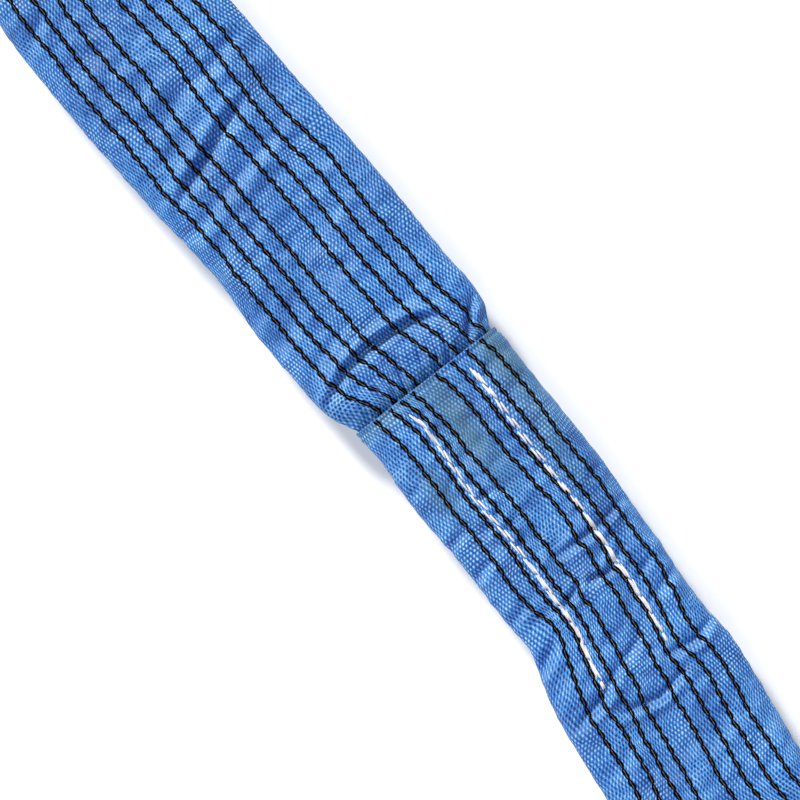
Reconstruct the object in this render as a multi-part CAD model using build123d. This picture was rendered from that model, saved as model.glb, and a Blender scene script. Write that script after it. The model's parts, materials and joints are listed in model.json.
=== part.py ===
from build123d import *
import os
from math import cos, pi, radians, sin

# An endless polyester round sling: turns of core yarn run loose inside a woven tube sleeve.
# It lies drawn out long, the upper leg on the lower leg, with an open eye at each end.
# X runs along the sling, Y across it, and Z is up from the surface that it lies on.
# The origin is on that surface, under the middle of the sling.

# Driving dimensions, in millimetres
WORKING_LENGTH = 1000.0  # from bearing to bearing, pulled straight
SLEEVE_WIDTH = 100.0
SLEEVE_HEIGHT = 18.0
SLEEVE_WALL = 1.2
LEG_GAP = 0.2  # between the two legs where they lie on each other

# Eyes
EYE_RADIUS = 29.0  # of the leg's centreline round the eye
EYE_SLOPE = 15.0  # degrees, of the upper leg as it comes down from the eye
SETTLE_RADIUS = 150.0  # of the upper leg where it settles on the lower one
FOLD_X = 255.0  # the middle ends here, and the two ends fold from here
FOLD_GAP = 0.2

# Sleeve joint: one end of the sleeve is tucked into the other and sewn
JOINT_WIDTH = 92.0
JOINT_LENGTH = 150.0  # from the mouth to where the sleeve begins to widen again
WIDEN_LENGTH = 40.0
TUCKED_LENGTH = 188.0
HEM_LENGTH = 9.0  # the turned-in edge at the mouth
NARROW_LENGTH = 13.0  # the tucked end narrows over this length before the mouth
LAYER_CLEARANCE = 0.15

# Core yarn
TURNS_ACROSS = 6
TURNS_DEEP = 2
TURN_WIDTH = 13.0
TURN_HEIGHT = 5.05
TURN_EDGE_RADIUS = 2.5
TURN_GAP_ACROSS = 0.3
TURN_GAP_DEEP = 0.2
TAPE_X = 60.0
TAPE_LENGTH = 50.0
TAPE_THICKNESS = 0.5
TAPE_CLEARANCE = 0.1

# Marker yarns: two groups of four, woven into the face of the sleeve
MARKER_OFFSETS = [side * (7.5 + 9.7 * step) for side in (-1, 1) for step in range(4)]
MARKER_WIDTH = 1.7
MARKER_HEIGHT = 0.45
INLAY_SIDE_GAP = 0.05  # between an inlaid yarn and each side of its groove
INLAY_RECESS = 0.05  # an inlaid yarn lies this far below the face

# Seam rows of the joint
SEAM_OFFSET = 22.0
SEAM_START = 9.5
SEAM_END = 183.0
STITCH_PITCH = 5.5
STITCH_LENGTH = 4.2
STITCH_WIDTH = 1.6

# Identification label, sewn flat
LABEL_LENGTH = 70.0
LABEL_WIDTH = 60.0
LABEL_THICKNESS = 0.5
LABEL_CLEARANCE = 0.05
LABEL_STITCH_INSET = 3.0
LABEL_STITCH_PITCH = 4.5
LABEL_STITCH_LENGTH = 3.0
LABEL_STITCH_WIDTH = 0.7
LABEL_STITCH_HEIGHT = 0.3

# Worked out from the above
LOWER_Z = SLEEVE_HEIGHT / 2
UPPER_Z = LOWER_Z + SLEEVE_HEIGHT + LEG_GAP
UPPER_FACE_Z = UPPER_Z + SLEEVE_HEIGHT / 2
EYE_Z = LOWER_Z + EYE_RADIUS
SLOPE = radians(EYE_SLOPE)
SETTLE_DROP = SETTLE_RADIUS * (1 - cos(SLOPE))
RUN_LENGTH = (EYE_Z + EYE_RADIUS * cos(SLOPE) - UPPER_Z - SETTLE_DROP) / sin(SLOPE)
CENTRELINE_LENGTH = 2 * WORKING_LENGTH + pi * SLEEVE_HEIGHT
CURVED_LENGTH = EYE_RADIUS * (pi + SLOPE) + RUN_LENGTH + SETTLE_RADIUS * SLOPE
SETTLE_SPAN = (EYE_RADIUS + SETTLE_RADIUS) * sin(SLOPE) + RUN_LENGTH * cos(SLOPE)
EYE_X = (CENTRELINE_LENGTH / 2 - CURVED_LENGTH + SETTLE_SPAN) / 2
GROOVE_WIDTH = MARKER_WIDTH + 2 * INLAY_SIDE_GAP
GROOVE_DEPTH = MARKER_HEIGHT + INLAY_RECESS
CUT_MARGIN = 1.0  # how far a cutting shape runs past what it cuts


def save(shape, name):
    export_step(shape, "parts/" + name + ".step")


def across(x, z):
    """The plane across a leg at x, with its own y axis pointing up."""
    return Plane(origin=(x, 0, z), x_dir=(0, 1, 0), z_dir=(1, 0, 0))


def straight(face, x_start, x_end, z):
    return extrude(across(x_start, z) * face, amount=x_end - x_start)


def taper(face_start, face_end, x_start, x_end, z):
    return loft([across(x_start, z) * face_start, across(x_end, z) * face_end])


def flat_tube(width, height, wall):
    return SlotOverall(width, height) - SlotOverall(width - 2 * wall, height - 2 * wall)


def inlay(offset, side, width, height, recess):
    """A strip let into the face of a leg's section: side is 1 for the top face, -1 for the bottom."""
    middle = side * (SLEEVE_HEIGHT / 2 - recess - height / 2)
    return Pos(offset, middle) * Rectangle(width, height)


def grooved_sleeve(side):
    """The sleeve's section with a groove for each marker yarn in its outer face."""
    section = flat_tube(SLEEVE_WIDTH, SLEEVE_HEIGHT, SLEEVE_WALL)
    for offset in MARKER_OFFSETS:
        depth = GROOVE_DEPTH + CUT_MARGIN
        section -= inlay(offset, side, GROOVE_WIDTH, depth, -CUT_MARGIN)
    return section


def marker_faces(side):
    return [inlay(y, side, MARKER_WIDTH, MARKER_HEIGHT, INLAY_RECESS) for y in MARKER_OFFSETS]


def turn_faces():
    """The sections of the core's turns."""
    turn = RectangleRounded(TURN_WIDTH, TURN_HEIGHT, TURN_EDGE_RADIUS)
    across_pitch = TURN_WIDTH + TURN_GAP_ACROSS
    deep_pitch = TURN_HEIGHT + TURN_GAP_DEEP
    places = GridLocations(across_pitch, deep_pitch, TURNS_ACROSS, TURNS_DEEP)
    return [place * turn for place in places]


def at_angle(centre_x, centre_z, radius, angle):
    """A point on a circle in the XZ plane, by its angle from the bottom towards +X."""
    return (centre_x + radius * sin(angle), 0, centre_z - radius * cos(angle))


def eye_path():
    """The centreline of one end: out along the lower leg, round the eye and back on the upper leg."""
    start_x = FOLD_X + FOLD_GAP / 2
    eye = (EYE_X, EYE_Z, EYE_RADIUS)
    settle_x = EYE_X - SETTLE_SPAN
    settle = (settle_x, UPPER_Z + SETTLE_RADIUS, SETTLE_RADIUS)
    turned = pi + SLOPE
    eye_start = at_angle(*eye, 0)
    eye_end = at_angle(*eye, turned)
    run_end = at_angle(*settle, SLOPE)
    settled = at_angle(*settle, 0)
    return Wire(
        [
            Line((start_x, 0, LOWER_Z), eye_start),
            ThreePointArc(eye_start, at_angle(*eye, turned / 2), eye_end),
            Line(eye_end, run_end),
            ThreePointArc(run_end, at_angle(*settle, SLOPE / 2), settled),
            Line(settled, (start_x, 0, UPPER_Z)),
        ]
    )


def round_eye(face):
    """A section carried round the end at +X. Its bottom face is the outside of the loop."""
    return sweep(across(FOLD_X + FOLD_GAP / 2, LOWER_Z) * face, path=eye_path())


def both_ends(shape, name):
    save(shape, name + "_b")
    save(mirror(shape, about=Plane.YZ), name + "_a")


def stitch_boxes(side, wide, high, recess):
    """One row of stitches of the joint for each side of its middle, on one face of the upper leg."""
    count = int((SEAM_END - SEAM_START) / STITCH_PITCH)
    extra = (wide - STITCH_WIDTH) / 2
    middle = UPPER_Z + side * (SLEEVE_HEIGHT / 2 - recess - high / 2)
    boxes = {}
    for name, offset in (("left", -SEAM_OFFSET), ("right", SEAM_OFFSET)):
        boxes[name] = []
        for step in range(count):
            x = SEAM_START + (step + 0.5) * STITCH_PITCH
            boxes[name].append(Pos(x, offset, middle) * Box(STITCH_LENGTH + 2 * extra, wide, high))
    return boxes


def make_outer_sleeve_end():
    """The sleeve end whose hemmed mouth takes the tucked end. It is narrow over the joint."""
    widen_x = JOINT_LENGTH
    full_x = JOINT_LENGTH + WIDEN_LENGTH
    end_x = FOLD_X - FOLD_GAP / 2
    joint = SlotOverall(JOINT_WIDTH, SLEEVE_HEIGHT)
    full = SlotOverall(SLEEVE_WIDTH, SLEEVE_HEIGHT)
    inner_height = SLEEVE_HEIGHT - 2 * SLEEVE_WALL
    joint_inner = SlotOverall(JOINT_WIDTH - 2 * SLEEVE_WALL, inner_height)
    full_inner = SlotOverall(SLEEVE_WIDTH - 2 * SLEEVE_WALL, inner_height)
    mouth_inner = SlotOverall(JOINT_WIDTH - 4 * SLEEVE_WALL, SLEEVE_HEIGHT - 4 * SLEEVE_WALL)
    sleeve = straight(joint, 0, widen_x, UPPER_Z)
    sleeve += taper(joint, full, widen_x, full_x, UPPER_Z)
    sleeve += straight(full, full_x, end_x, UPPER_Z)
    hollow = straight(joint_inner, HEM_LENGTH, widen_x, UPPER_Z)
    hollow += taper(joint_inner, full_inner, widen_x, full_x, UPPER_Z)
    hollow += straight(full_inner, full_x, end_x + CUT_MARGIN, UPPER_Z)
    hollow += straight(mouth_inner, -CUT_MARGIN, HEM_LENGTH, UPPER_Z)
    sleeve -= hollow
    for offset in MARKER_OFFSETS:
        depth = GROOVE_DEPTH + CUT_MARGIN
        groove = inlay(offset, 1, GROOVE_WIDTH, depth, -CUT_MARGIN)
        sleeve -= straight(groove, -CUT_MARGIN, end_x + CUT_MARGIN, UPPER_Z)
    wide = STITCH_WIDTH + 2 * INLAY_SIDE_GAP
    for side in (-1, 1):
        for row in stitch_boxes(side, wide, GROOVE_DEPTH + CUT_MARGIN, -CUT_MARGIN).values():
            sleeve -= row
    save(sleeve, "outer_sleeve_end")


def make_tucked_sleeve_end():
    """The other sleeve end: full width up to the mouth, then reduced to lie inside it."""
    start_x = -FOLD_X + FOLD_GAP / 2
    narrow_x = -NARROW_LENGTH - 1
    tucked_x = -1.0
    reduced = 4 * SLEEVE_WALL + 2 * LAYER_CLEARANCE
    width = JOINT_WIDTH - reduced
    height = SLEEVE_HEIGHT - reduced
    full = SlotOverall(SLEEVE_WIDTH, SLEEVE_HEIGHT)
    tucked = SlotOverall(width, height)
    wall = 2 * SLEEVE_WALL
    full_inner = SlotOverall(SLEEVE_WIDTH - wall, SLEEVE_HEIGHT - wall)
    tucked_inner = SlotOverall(width - wall, height - wall)
    sleeve = straight(grooved_sleeve(1), start_x, narrow_x, UPPER_Z)
    narrowing = taper(full, tucked, narrow_x, tucked_x, UPPER_Z)
    narrowing -= taper(full_inner, tucked_inner, narrow_x, tucked_x, UPPER_Z)
    sleeve += narrowing
    sleeve += straight(tucked - tucked_inner, tucked_x, TUCKED_LENGTH, UPPER_Z)
    save(sleeve, "tucked_sleeve_end")


def make_lower_sleeve():
    x = FOLD_X - FOLD_GAP / 2
    save(straight(grooved_sleeve(-1), -x, x, LOWER_Z), "lower_leg_sleeve")


def make_eye_sleeves():
    both_ends(round_eye(grooved_sleeve(-1)), "eye_sleeve")


def make_core():
    x = FOLD_X - FOLD_GAP / 2
    faces = turn_faces()
    save(Compound([straight(face, -x, x, UPPER_Z) for face in faces]), "upper_leg_core_turns")
    save(Compound([straight(face, -x, x, LOWER_Z) for face in faces]), "lower_leg_core_turns")
    both_ends(Compound([round_eye(face) for face in faces]), "eye_core_turns")


def make_core_tape():
    """Tape round all the turns, where the yarn's first and last ends are fixed."""
    width = TURNS_ACROSS * (TURN_WIDTH + TURN_GAP_ACROSS) - TURN_GAP_ACROSS
    height = TURNS_DEEP * (TURN_HEIGHT + TURN_GAP_DEEP) - TURN_GAP_DEEP
    inner_width = width + 2 * TAPE_CLEARANCE
    inner_height = height + 2 * TAPE_CLEARANCE
    inner = Rectangle(inner_width, inner_height)
    outer = Rectangle(inner_width + 2 * TAPE_THICKNESS, inner_height + 2 * TAPE_THICKNESS)
    save(straight(outer - inner, TAPE_X, TAPE_X + TAPE_LENGTH, LOWER_Z), "core_end_tape")


def make_marker_yarns():
    x = FOLD_X - FOLD_GAP / 2
    top = marker_faces(1)
    bottom = marker_faces(-1)
    narrow_x = -NARROW_LENGTH - 1
    outer = [straight(face, 0, x, UPPER_Z) for face in top]
    tucked = [straight(face, -x, narrow_x, UPPER_Z) for face in top]
    save(Compound(outer), "outer_sleeve_marker_yarns")
    save(Compound(tucked), "tucked_sleeve_marker_yarns")
    save(Compound([straight(face, -x, x, LOWER_Z) for face in bottom]), "lower_leg_marker_yarns")
    both_ends(Compound([round_eye(face) for face in bottom]), "eye_marker_yarns")


def make_seam_rows():
    for face, side in (("lower", -1), ("upper", 1)):
        rows = stitch_boxes(side, STITCH_WIDTH, MARKER_HEIGHT, INLAY_RECESS)
        for row, boxes in rows.items():
            save(Compound(boxes), "joint_" + face + "_face_" + row + "_seam")


def label_plane():
    """The outer face of the straight run behind the eye at +X, with its x axis up the run."""
    outward = Vector(-sin(SLOPE), 0, cos(SLOPE))
    up_run = Vector(cos(SLOPE), 0, sin(SLOPE))
    run_top = Vector(*at_angle(EYE_X, EYE_Z, EYE_RADIUS, pi + SLOPE))
    middle = run_top - up_run * (LABEL_LENGTH / 2 + LABEL_STITCH_INSET)
    origin = middle + outward * (SLEEVE_HEIGHT / 2 + LABEL_CLEARANCE)
    return Plane(origin=origin, x_dir=up_run, z_dir=outward)


def make_label():
    on_bottom = (Align.CENTER, Align.CENTER, Align.MIN)
    plane = label_plane()
    save(plane * Box(LABEL_LENGTH, LABEL_WIDTH, LABEL_THICKNESS, align=on_bottom), "identification_label")
    length = LABEL_LENGTH - 2 * LABEL_STITCH_INSET
    width = LABEL_WIDTH - 2 * LABEL_STITCH_INSET
    along = int(length / LABEL_STITCH_PITCH)
    sideways = int(width / LABEL_STITCH_PITCH)
    above = Pos(0, 0, LABEL_THICKNESS + LABEL_CLEARANCE)
    size = (LABEL_STITCH_LENGTH, LABEL_STITCH_WIDTH, LABEL_STITCH_HEIGHT)
    lengthwise = Box(*size, align=on_bottom)
    crosswise = Rot(0, 0, 90) * lengthwise
    places = [place * lengthwise for place in GridLocations(LABEL_STITCH_PITCH, width, along, 2)]
    places += [place * crosswise for place in GridLocations(length, LABEL_STITCH_PITCH, 2, sideways)]
    save(Compound([plane * (above * stitch) for stitch in places]), "label_stitching")


os.makedirs("parts", exist_ok=True)
make_outer_sleeve_end()
make_tucked_sleeve_end()
make_lower_sleeve()
make_eye_sleeves()
make_core()
make_core_tape()
make_marker_yarns()
make_seam_rows()
make_label()
print("eye centre x", EYE_X, "z", EYE_Z, "upper leg settles at x", EYE_X - SETTLE_SPAN)
print("overall length", 2 * (EYE_X + EYE_RADIUS + SLEEVE_HEIGHT / 2))
print("overall height", 2 * EYE_RADIUS + SLEEVE_HEIGHT)
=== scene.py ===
import json
from math import cos, pi, radians, sin

import bpy
import numpy as np
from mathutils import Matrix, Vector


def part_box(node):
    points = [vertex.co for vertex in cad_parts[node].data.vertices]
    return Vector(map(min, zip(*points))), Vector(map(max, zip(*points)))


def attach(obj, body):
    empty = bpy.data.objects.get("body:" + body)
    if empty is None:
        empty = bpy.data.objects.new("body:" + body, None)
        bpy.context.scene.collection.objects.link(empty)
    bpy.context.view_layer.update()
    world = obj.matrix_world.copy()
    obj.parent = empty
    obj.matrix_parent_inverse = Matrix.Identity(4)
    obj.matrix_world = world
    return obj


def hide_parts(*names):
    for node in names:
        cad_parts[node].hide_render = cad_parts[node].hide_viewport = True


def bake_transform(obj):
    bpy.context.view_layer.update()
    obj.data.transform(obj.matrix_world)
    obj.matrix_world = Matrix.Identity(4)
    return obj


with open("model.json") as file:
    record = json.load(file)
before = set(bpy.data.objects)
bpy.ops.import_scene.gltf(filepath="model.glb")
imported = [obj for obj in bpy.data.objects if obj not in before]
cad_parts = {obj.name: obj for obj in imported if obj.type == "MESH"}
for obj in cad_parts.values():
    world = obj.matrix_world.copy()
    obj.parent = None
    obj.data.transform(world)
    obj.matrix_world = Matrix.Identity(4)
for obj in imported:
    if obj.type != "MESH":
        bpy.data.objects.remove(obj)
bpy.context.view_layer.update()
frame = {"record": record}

# A round sling lies drawn out long along X, its upper leg on its lower leg, with an eye at each end.
# The cloth of its sleeve has coordinates of its own, in metres: s runs along the loop, from the mouth
# of the joint at s = 0, and u runs round the tube, from the middle of the loop's outer face at u = 0.

MM = 0.001
FLOOR_Z = -0.2 * MM

# ---- sizes from the frame

seat = next(m for m in frame["record"]["mounts"] if m["name"] == "eye_b_seat")
leg_low, leg_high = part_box("lower_leg_sleeve")
joint_low, joint_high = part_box("outer_sleeve_end")
_, tucked_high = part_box("tucked_sleeve_end")
seam_low, seam_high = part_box("joint_upper_face_right_seam")
core_low, core_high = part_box("lower_leg_core_turns")
label_low, label_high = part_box("identification_label")

WIDTH = leg_high[1] - leg_low[1]
HEIGHT = leg_high[2] - leg_low[2]
LOWER_Z = (leg_low[2] + leg_high[2]) / 2
UPPER_Z = (joint_low[2] + joint_high[2]) / 2
TUCKED_END_X = tucked_high[0]
EYE_X = seat["pos_m"][0]
EYE_Z = seat["pos_m"][2]
EYE_RADIUS = seat["dims"]["r_mm"] * MM + HEIGHT / 2

# The upper leg comes down from the eye on a straight slope and settles on the lower leg on a wide arc.
SLOPE = radians(15)
SETTLE_RADIUS = 0.15
SETTLE_DROP = SETTLE_RADIUS * (1 - cos(SLOPE))
RUN_LENGTH = (EYE_Z + EYE_RADIUS * cos(SLOPE) - UPPER_Z - SETTLE_DROP) / sin(SLOPE)
SETTLE_X = EYE_X - (EYE_RADIUS + SETTLE_RADIUS) * sin(SLOPE) - RUN_LENGTH * cos(SLOPE)

# Where each stretch of half the loop ends, from x = 0 on the upper leg
SETTLE_END = SETTLE_X + SETTLE_RADIUS * SLOPE
EYE_START = SETTLE_END + RUN_LENGTH
EYE_END = EYE_START + EYE_RADIUS * (pi + SLOPE)
HALF_LOOP = EYE_END + EYE_X

# Marker yarns, in the cloth's own widths
MARKER_FIRST = 7.7 * MM
MARKER_PITCH = 9.8 * MM
MARKERS_A_SIDE = 4
MARKER_LINES = [
    side * (MARKER_FIRST + MARKER_PITCH * step) for side in (-1, 1) for step in range(MARKERS_A_SIDE)
]
SEAM_LINE = MARKER_FIRST + 1.5 * MARKER_PITCH
SEAM_START = seam_low[0]
SEAM_END = seam_high[0]
STITCH_PITCH = 10.2 * MM
SHAPED = 0.30  # of each half, from the mouth, is shaped after the photo
PLAIN = 0.40  # from here on nothing but the cloth's own lumps shapes it

# ---- smooth curves and noise


def through(curve, x):
    """A smooth curve through a few x: y points, level beyond its ends."""
    px, py = np.array(list(curve.items()), float).T
    slope = np.gradient(py, px)
    slope[0] = slope[-1] = 0
    x = np.clip(x, px[0], px[-1])
    i = np.clip(np.searchsorted(px, x) - 1, 0, len(px) - 2)
    span = px[i + 1] - px[i]
    t = (x - px[i]) / span
    start = (1 + 2 * t) * (1 - t) ** 2 * py[i] + t * (1 - t) ** 2 * span * slope[i]
    end = t**2 * (3 - 2 * t) * py[i + 1] + t**2 * (t - 1) * span * slope[i + 1]
    return start + end


def through_mm(curve, x):
    """The same in metres, for a curve in millimetres."""
    return through(curve, np.asarray(x) / MM) * MM


def ease(x, low, high):
    """From 0 at low to 1 at high, smoothly."""
    t = np.clip((x - low) / (high - low), 0, 1)
    return t * t * (3 - 2 * t)


def fall(x, low, high):
    """From 1 at low to 0 at high, smoothly."""
    return ease(-x, -high, -low)


def bell(x, width):
    """1 at x = 0 and falling to nothing on both sides."""
    return np.exp(-((x / width) ** 2))


def unit(vectors):
    return vectors / (np.linalg.norm(vectors, axis=-1, keepdims=True) + 1e-12)


def noise(seed, lengths, waves=28):
    """A smooth random field on three coordinates: a sum of plane waves of unit total power."""
    random = np.random.default_rng(seed)
    direction = random.normal(size=(waves, 3))
    direction /= np.linalg.norm(direction, axis=1)[:, None]
    stretch = random.uniform(0.7, 1.6, size=(waves, 1))
    wave = 2 * pi * direction * stretch / np.array(lengths)
    phase = random.uniform(0, 2 * pi, waves)

    def field(a, b, c):
        total = 0
        for (wave_a, wave_b, wave_c), start in zip(wave, phase):
            total = total + np.sin(wave_a * a + wave_b * b + wave_c * c + start)
        return total * (2 / waves) ** 0.5

    return field


# ---- the loop and the section


def loop_line(s):
    """x, z and the outward normal's x and z of the loop's centreline. Negative s runs towards -X."""
    side = np.where(s < 0, -1.0, 1.0)
    s = np.abs(s)
    short_of = [s < end for end in (SETTLE_X, SETTLE_END, EYE_START, EYE_END)]
    settling = (s - SETTLE_X) / SETTLE_RADIUS
    turn = np.select(short_of, [0 * s, settling, SLOPE + 0 * s, SLOPE - (s - EYE_START) / EYE_RADIUS], -pi)
    x = np.select(short_of, [
        s,
        SETTLE_X + SETTLE_RADIUS * np.sin(turn),
        SETTLE_X + SETTLE_RADIUS * sin(SLOPE) + (s - SETTLE_END) * cos(SLOPE),
        EYE_X - EYE_RADIUS * np.sin(turn),
    ], EYE_X - (s - EYE_END))
    z = np.select(short_of, [
        UPPER_Z + 0 * s,
        UPPER_Z + SETTLE_RADIUS * (1 - np.cos(turn)),
        UPPER_Z + SETTLE_DROP + (s - SETTLE_END) * sin(SLOPE),
        EYE_Z + EYE_RADIUS * np.cos(turn),
    ], LOWER_Z)
    return side * x, z, -side * np.sin(turn), np.cos(turn)


# The sleeve's section, a flattened round of unit half width and half height, by length round it
ROUND_ACROSS = 3.3
ROUND_UP = 2.1
turn_round = np.linspace(-pi, pi, 20001)
round_y = np.sign(np.sin(turn_round)) * np.abs(np.sin(turn_round)) ** (2 / ROUND_ACROSS)
round_h = np.sign(np.cos(turn_round)) * np.abs(np.cos(turn_round)) ** (2 / ROUND_UP)
round_steps = np.hypot(np.diff(round_y) * WIDTH / 2, np.diff(round_h) * HEIGHT / 2)
round_length = np.concatenate([[0], np.cumsum(round_steps)])
GIRTH = round_length[-1]
round_length -= GIRTH / 2


def wrap(u):
    """The same place round the tube, within half the girth of u = 0."""
    return (u + GIRTH / 2) % GIRTH - GIRTH / 2


def plain_section(u):
    """Unit y and h at length u from the top's middle."""
    return np.interp(u, round_length, round_y), np.interp(u, round_length, round_h)


def section(u):
    """The same, and the section's outward normal as (y, h)."""
    step = 0.4 * MM
    u = wrap(u)
    (y_next, h_next), (y_last, h_last) = plain_section(u + step), plain_section(u - step)
    along_y = (y_next - y_last) * WIDTH
    along_h = (h_next - h_last) * HEIGHT
    length = np.hypot(along_y, along_h) + 1e-12
    return *plain_section(u), -along_h / length, along_y / length


# ---- how the sling lies, in millimetres

# The edges of the upper leg as seen from above, x: y
TUCKED_EDGE_HIGH = {
    -504: 46, -400: 44, -300: 40, -250: 40, -200: 42.5, -160: 43.4, -120: 46, -80: 47.3, -40: 47.9,
    -20: 49.3, -11: 48.4, -5: 45.6, -1: 42.9, 3: 41.8, 190: 41,
}
TUCKED_EDGE_LOW = {
    -504: -50, -400: -54, -300: -59, -250: -61.3, -200: -59.8, -160: -57, -120: -53.4, -100: -52.4,
    -70: -53.6, -40: -52, -22: -51.6, -10: -48.8, -4: -45.2, 0: -43, 4: -41.6, 190: -41,
}
OUTER_EDGE_HIGH = {
    0: 45.6, 8: 46.2, 60: 46.2, 98: 47.6, 120: 45.6, 140: 44.6, 160: 42.9, 180: 42.4, 200: 44.2, 220: 42.9,
    240: 39.8, 260: 36.4, 300: 35.6, 400: 42, 504: 46,
}
OUTER_EDGE_LOW = {
    0: -45.7, 8: -44.6, 60: -44, 100: -43.2, 125: -42.6, 142: -41.2, 160: -46.4, 180: -52, 200: -54.6,
    220: -57.2, 250: -60, 300: -60, 400: -55, 504: -50,
}

# The lower leg follows the same bow, a little narrower, so the upper leg hides it from above
LOWER_EDGE_HIGH = {
    -504: 46, -400: 44, -300: 38.4, -200: 40.6, -120: 43.8, -60: 45, 0: 43.4, 60: 44.2, 120: 43.4, 160: 41,
    200: 42, 250: 36.6, 300: 34.4, 400: 42, 504: 46,
}
LOWER_EDGE_LOW = {
    -504: -50, -400: -54, -300: -57.4, -200: -57.6, -120: -51.4, -60: -50.6, 0: -43.8, 60: -42.2,
    120: -40.6, 160: -44.2, 200: -52.6, 250: -58, 300: -58.2, 400: -55, 504: -50,
}

# How far the cloth has crept round the core, and how far the rows of stitches draw it in from the edges
TUCKED_DRIFT = {-300: -1.4, -200: -1.4, -120: -2.9, -60: -2.4, -38: -2.2, -20: 1.7, -8: 3.4, 0: 4.2}
TUCKED_HIGH_PULL = {-150: 0, -110: -1, -60: -1, -40: -2, -22: 0, -4: 0, 0: 0.4}
TUCKED_LOW_PULL = {-60: 0, -42: 2.2, -24: 0.3, -16: 0.4, -4: 4.6, 0: 5}
OUTER_DRIFT = {
    0: -1.2, 10: 0.2, 20: 1.2, 60: 1.9, 100: 3.4, 120: 3.2, 140: 2.3, 160: 3.2, 180: 2.8, 190: 1.6,
    200: 0.4, 300: 0,
}
OUTER_HIGH_PULL = {0: 0.3, 20: 2, 60: 2.2, 100: 4, 140: 4.2, 160: 2.8, 180: 4, 198: 0.8, 300: 0}
OUTER_LOW_PULL = {
    0: 6.2, 20: 5.8, 60: 4.8, 100: 3.2, 120: 3.4, 140: 4.6, 160: 4, 180: 2.2, 200: 3, 235: 3, 300: 0,
}

# The cloth's lines that the two rows of stitches on the upper face follow
HIGH_ROW = {8: 22.4, 40: 21.5, 70: 20.4, 100: 19.4, 118: 20.6, 147: 20.2, 162: 20, 184: 21.6}
LOW_ROW = {8: -22, 45: -23.2, 87: -23.4, 116: -22.4, 145: -24.6, 180: -24.3}

# Half the leg's height, from where it is full to where the tucked end goes into the mouth
TUCKED_HEIGHT = {
    -300: 9, -60: 9.1, -40: 9.2, -31: 8.9, -20: 9.7, -11: 9.7, -6: 8.9, -3: 7.0, -0.5: 5.0, 3: 4.8,
    190: 4.8,
}
OUTER_HEIGHT = {0: 8.6, 3: 9, 150: 9.1, 178: 9.4, 200: 9, 300: 9}

WIDTH_LIMIT = WIDTH / 2 + 12.4 * MM  # from the middle of the sling to where its cloth may reach

# Creases of the upper leg's face: points (x, y), depth, half width, and the ridge raised beside it.
# A ridge below 0 rises on the other side of the crease.
TUCKED_CREASES = [
    ([(-170, 16), (-164, -4), (-157, -20), (-149, -42)], 4.8, 3.1, -1.8),
    ([(-200, 40), (-193, 8), (-186, -30)], 1.4, 5.0, 0.6),
    ([(-147, 20), (-140, -12), (-131, -50)], 1.8, 3.8, 0.9),
    ([(-267, -40), (-257, -54)], 2.0, 3.5, 0.8),
    ([(-22, 26), (-28, 14), (-30, 0), (-31, -14), (-29, -28), (-21, -46)], 6.0, 2.2, -2.6),
    ([(-42, 30), (-38, 12), (-41, -6)], 0.8, 3.5, 0.4),
    ([(-46, -14), (-43, -30), (-36, -46)], 0.8, 3.5, 0.4),
    ([(-104, 34), (-96, 12), (-90, -10)], 0.8, 6, 0.3),
    ([(-75, -12), (-66, -34), (-60, -50)], 0.8, 5, 0.3),
    ([(-238, 34), (-228, 4), (-224, -24)], 0.8, 6, 0.4),
    ([(-118, -36), (-108, -50)], 1.0, 4, 0.4),
    ([(-19, 46), (-10, 37), (-1, 29)], 3.6, 2.0, 1.6),
    ([(-17, 24), (-8, 20), (1, 17)], 2.2, 1.5, 0.9),
    ([(-20, 9), (-9, 5), (1, 3)], 2.0, 1.5, 0.9),
    ([(-17, -5), (-8, -8), (1, -11)], 2.4, 1.6, 0.9),
    ([(-16, -22), (-7, -22), (1, -21)], 2.4, 1.6, 1.0),
    ([(-13, -34), (-5, -33), (1, -31)], 2.2, 1.5, 0.8),
    ([(-9, 14), (-3, 11), (1, 10)], 1.6, 1.2, 0.5),
    ([(-9, -15), (-4, -16), (1, -16)], 1.6, 1.2, 0.5),
]
OUTER_CREASES = [
    ([(110, 44), (113, 22), (112, -4)], 2.8, 2.1, 1.2),
    ([(129, 28), (134, 14), (131, 1)], 3.0, 2.0, -1.3),
    ([(126, 2), (132, -6), (135, -18)], 2.8, 2.0, 1.2),
    ([(92, -28), (98, -45)], 2.0, 2.6, 0.8),
    ([(73, -29), (76, -45)], 1.3, 2.6, 0.6),
    ([(146, -30), (153, -42), (158, -50)], 3.4, 3.2, 1.4),
    ([(185, 44), (189, 28), (186, 12)], 3.0, 2.3, 1.3),
    ([(176, -12), (184, -28), (188, -47)], 3.0, 2.4, 1.5),
    ([(197, 14), (201, -4), (196, -24)], 3.6, 2.1, 1.5),
    ([(170, 8), (175, -8)], 1.8, 2.2, 0.7),
    ([(141, 36), (146, 24)], 1.4, 2.2, 0.6),
    ([(64, -14), (67, 2)], 0.9, 2.2, 0.4),
    ([(226, 30), (232, 4), (228, -26)], 0.9, 5.5, 0.4),
    ([(153, 42), (160, 24)], 1.3, 2.6, 0.6),
    ([(40, -33), (44, -45)], 0.8, 2.8, 0.4),
    ([(104, 14), (107, -3)], 1.0, 2.2, 0.5),
    ([(121, -24), (126, -42)], 1.3, 2.6, 0.6),
    ([(88, 46), (92, 32)], 1.0, 2.6, 0.5),
    ([(213, -30), (220, -52)], 1.2, 4, 0.6),
]

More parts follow.
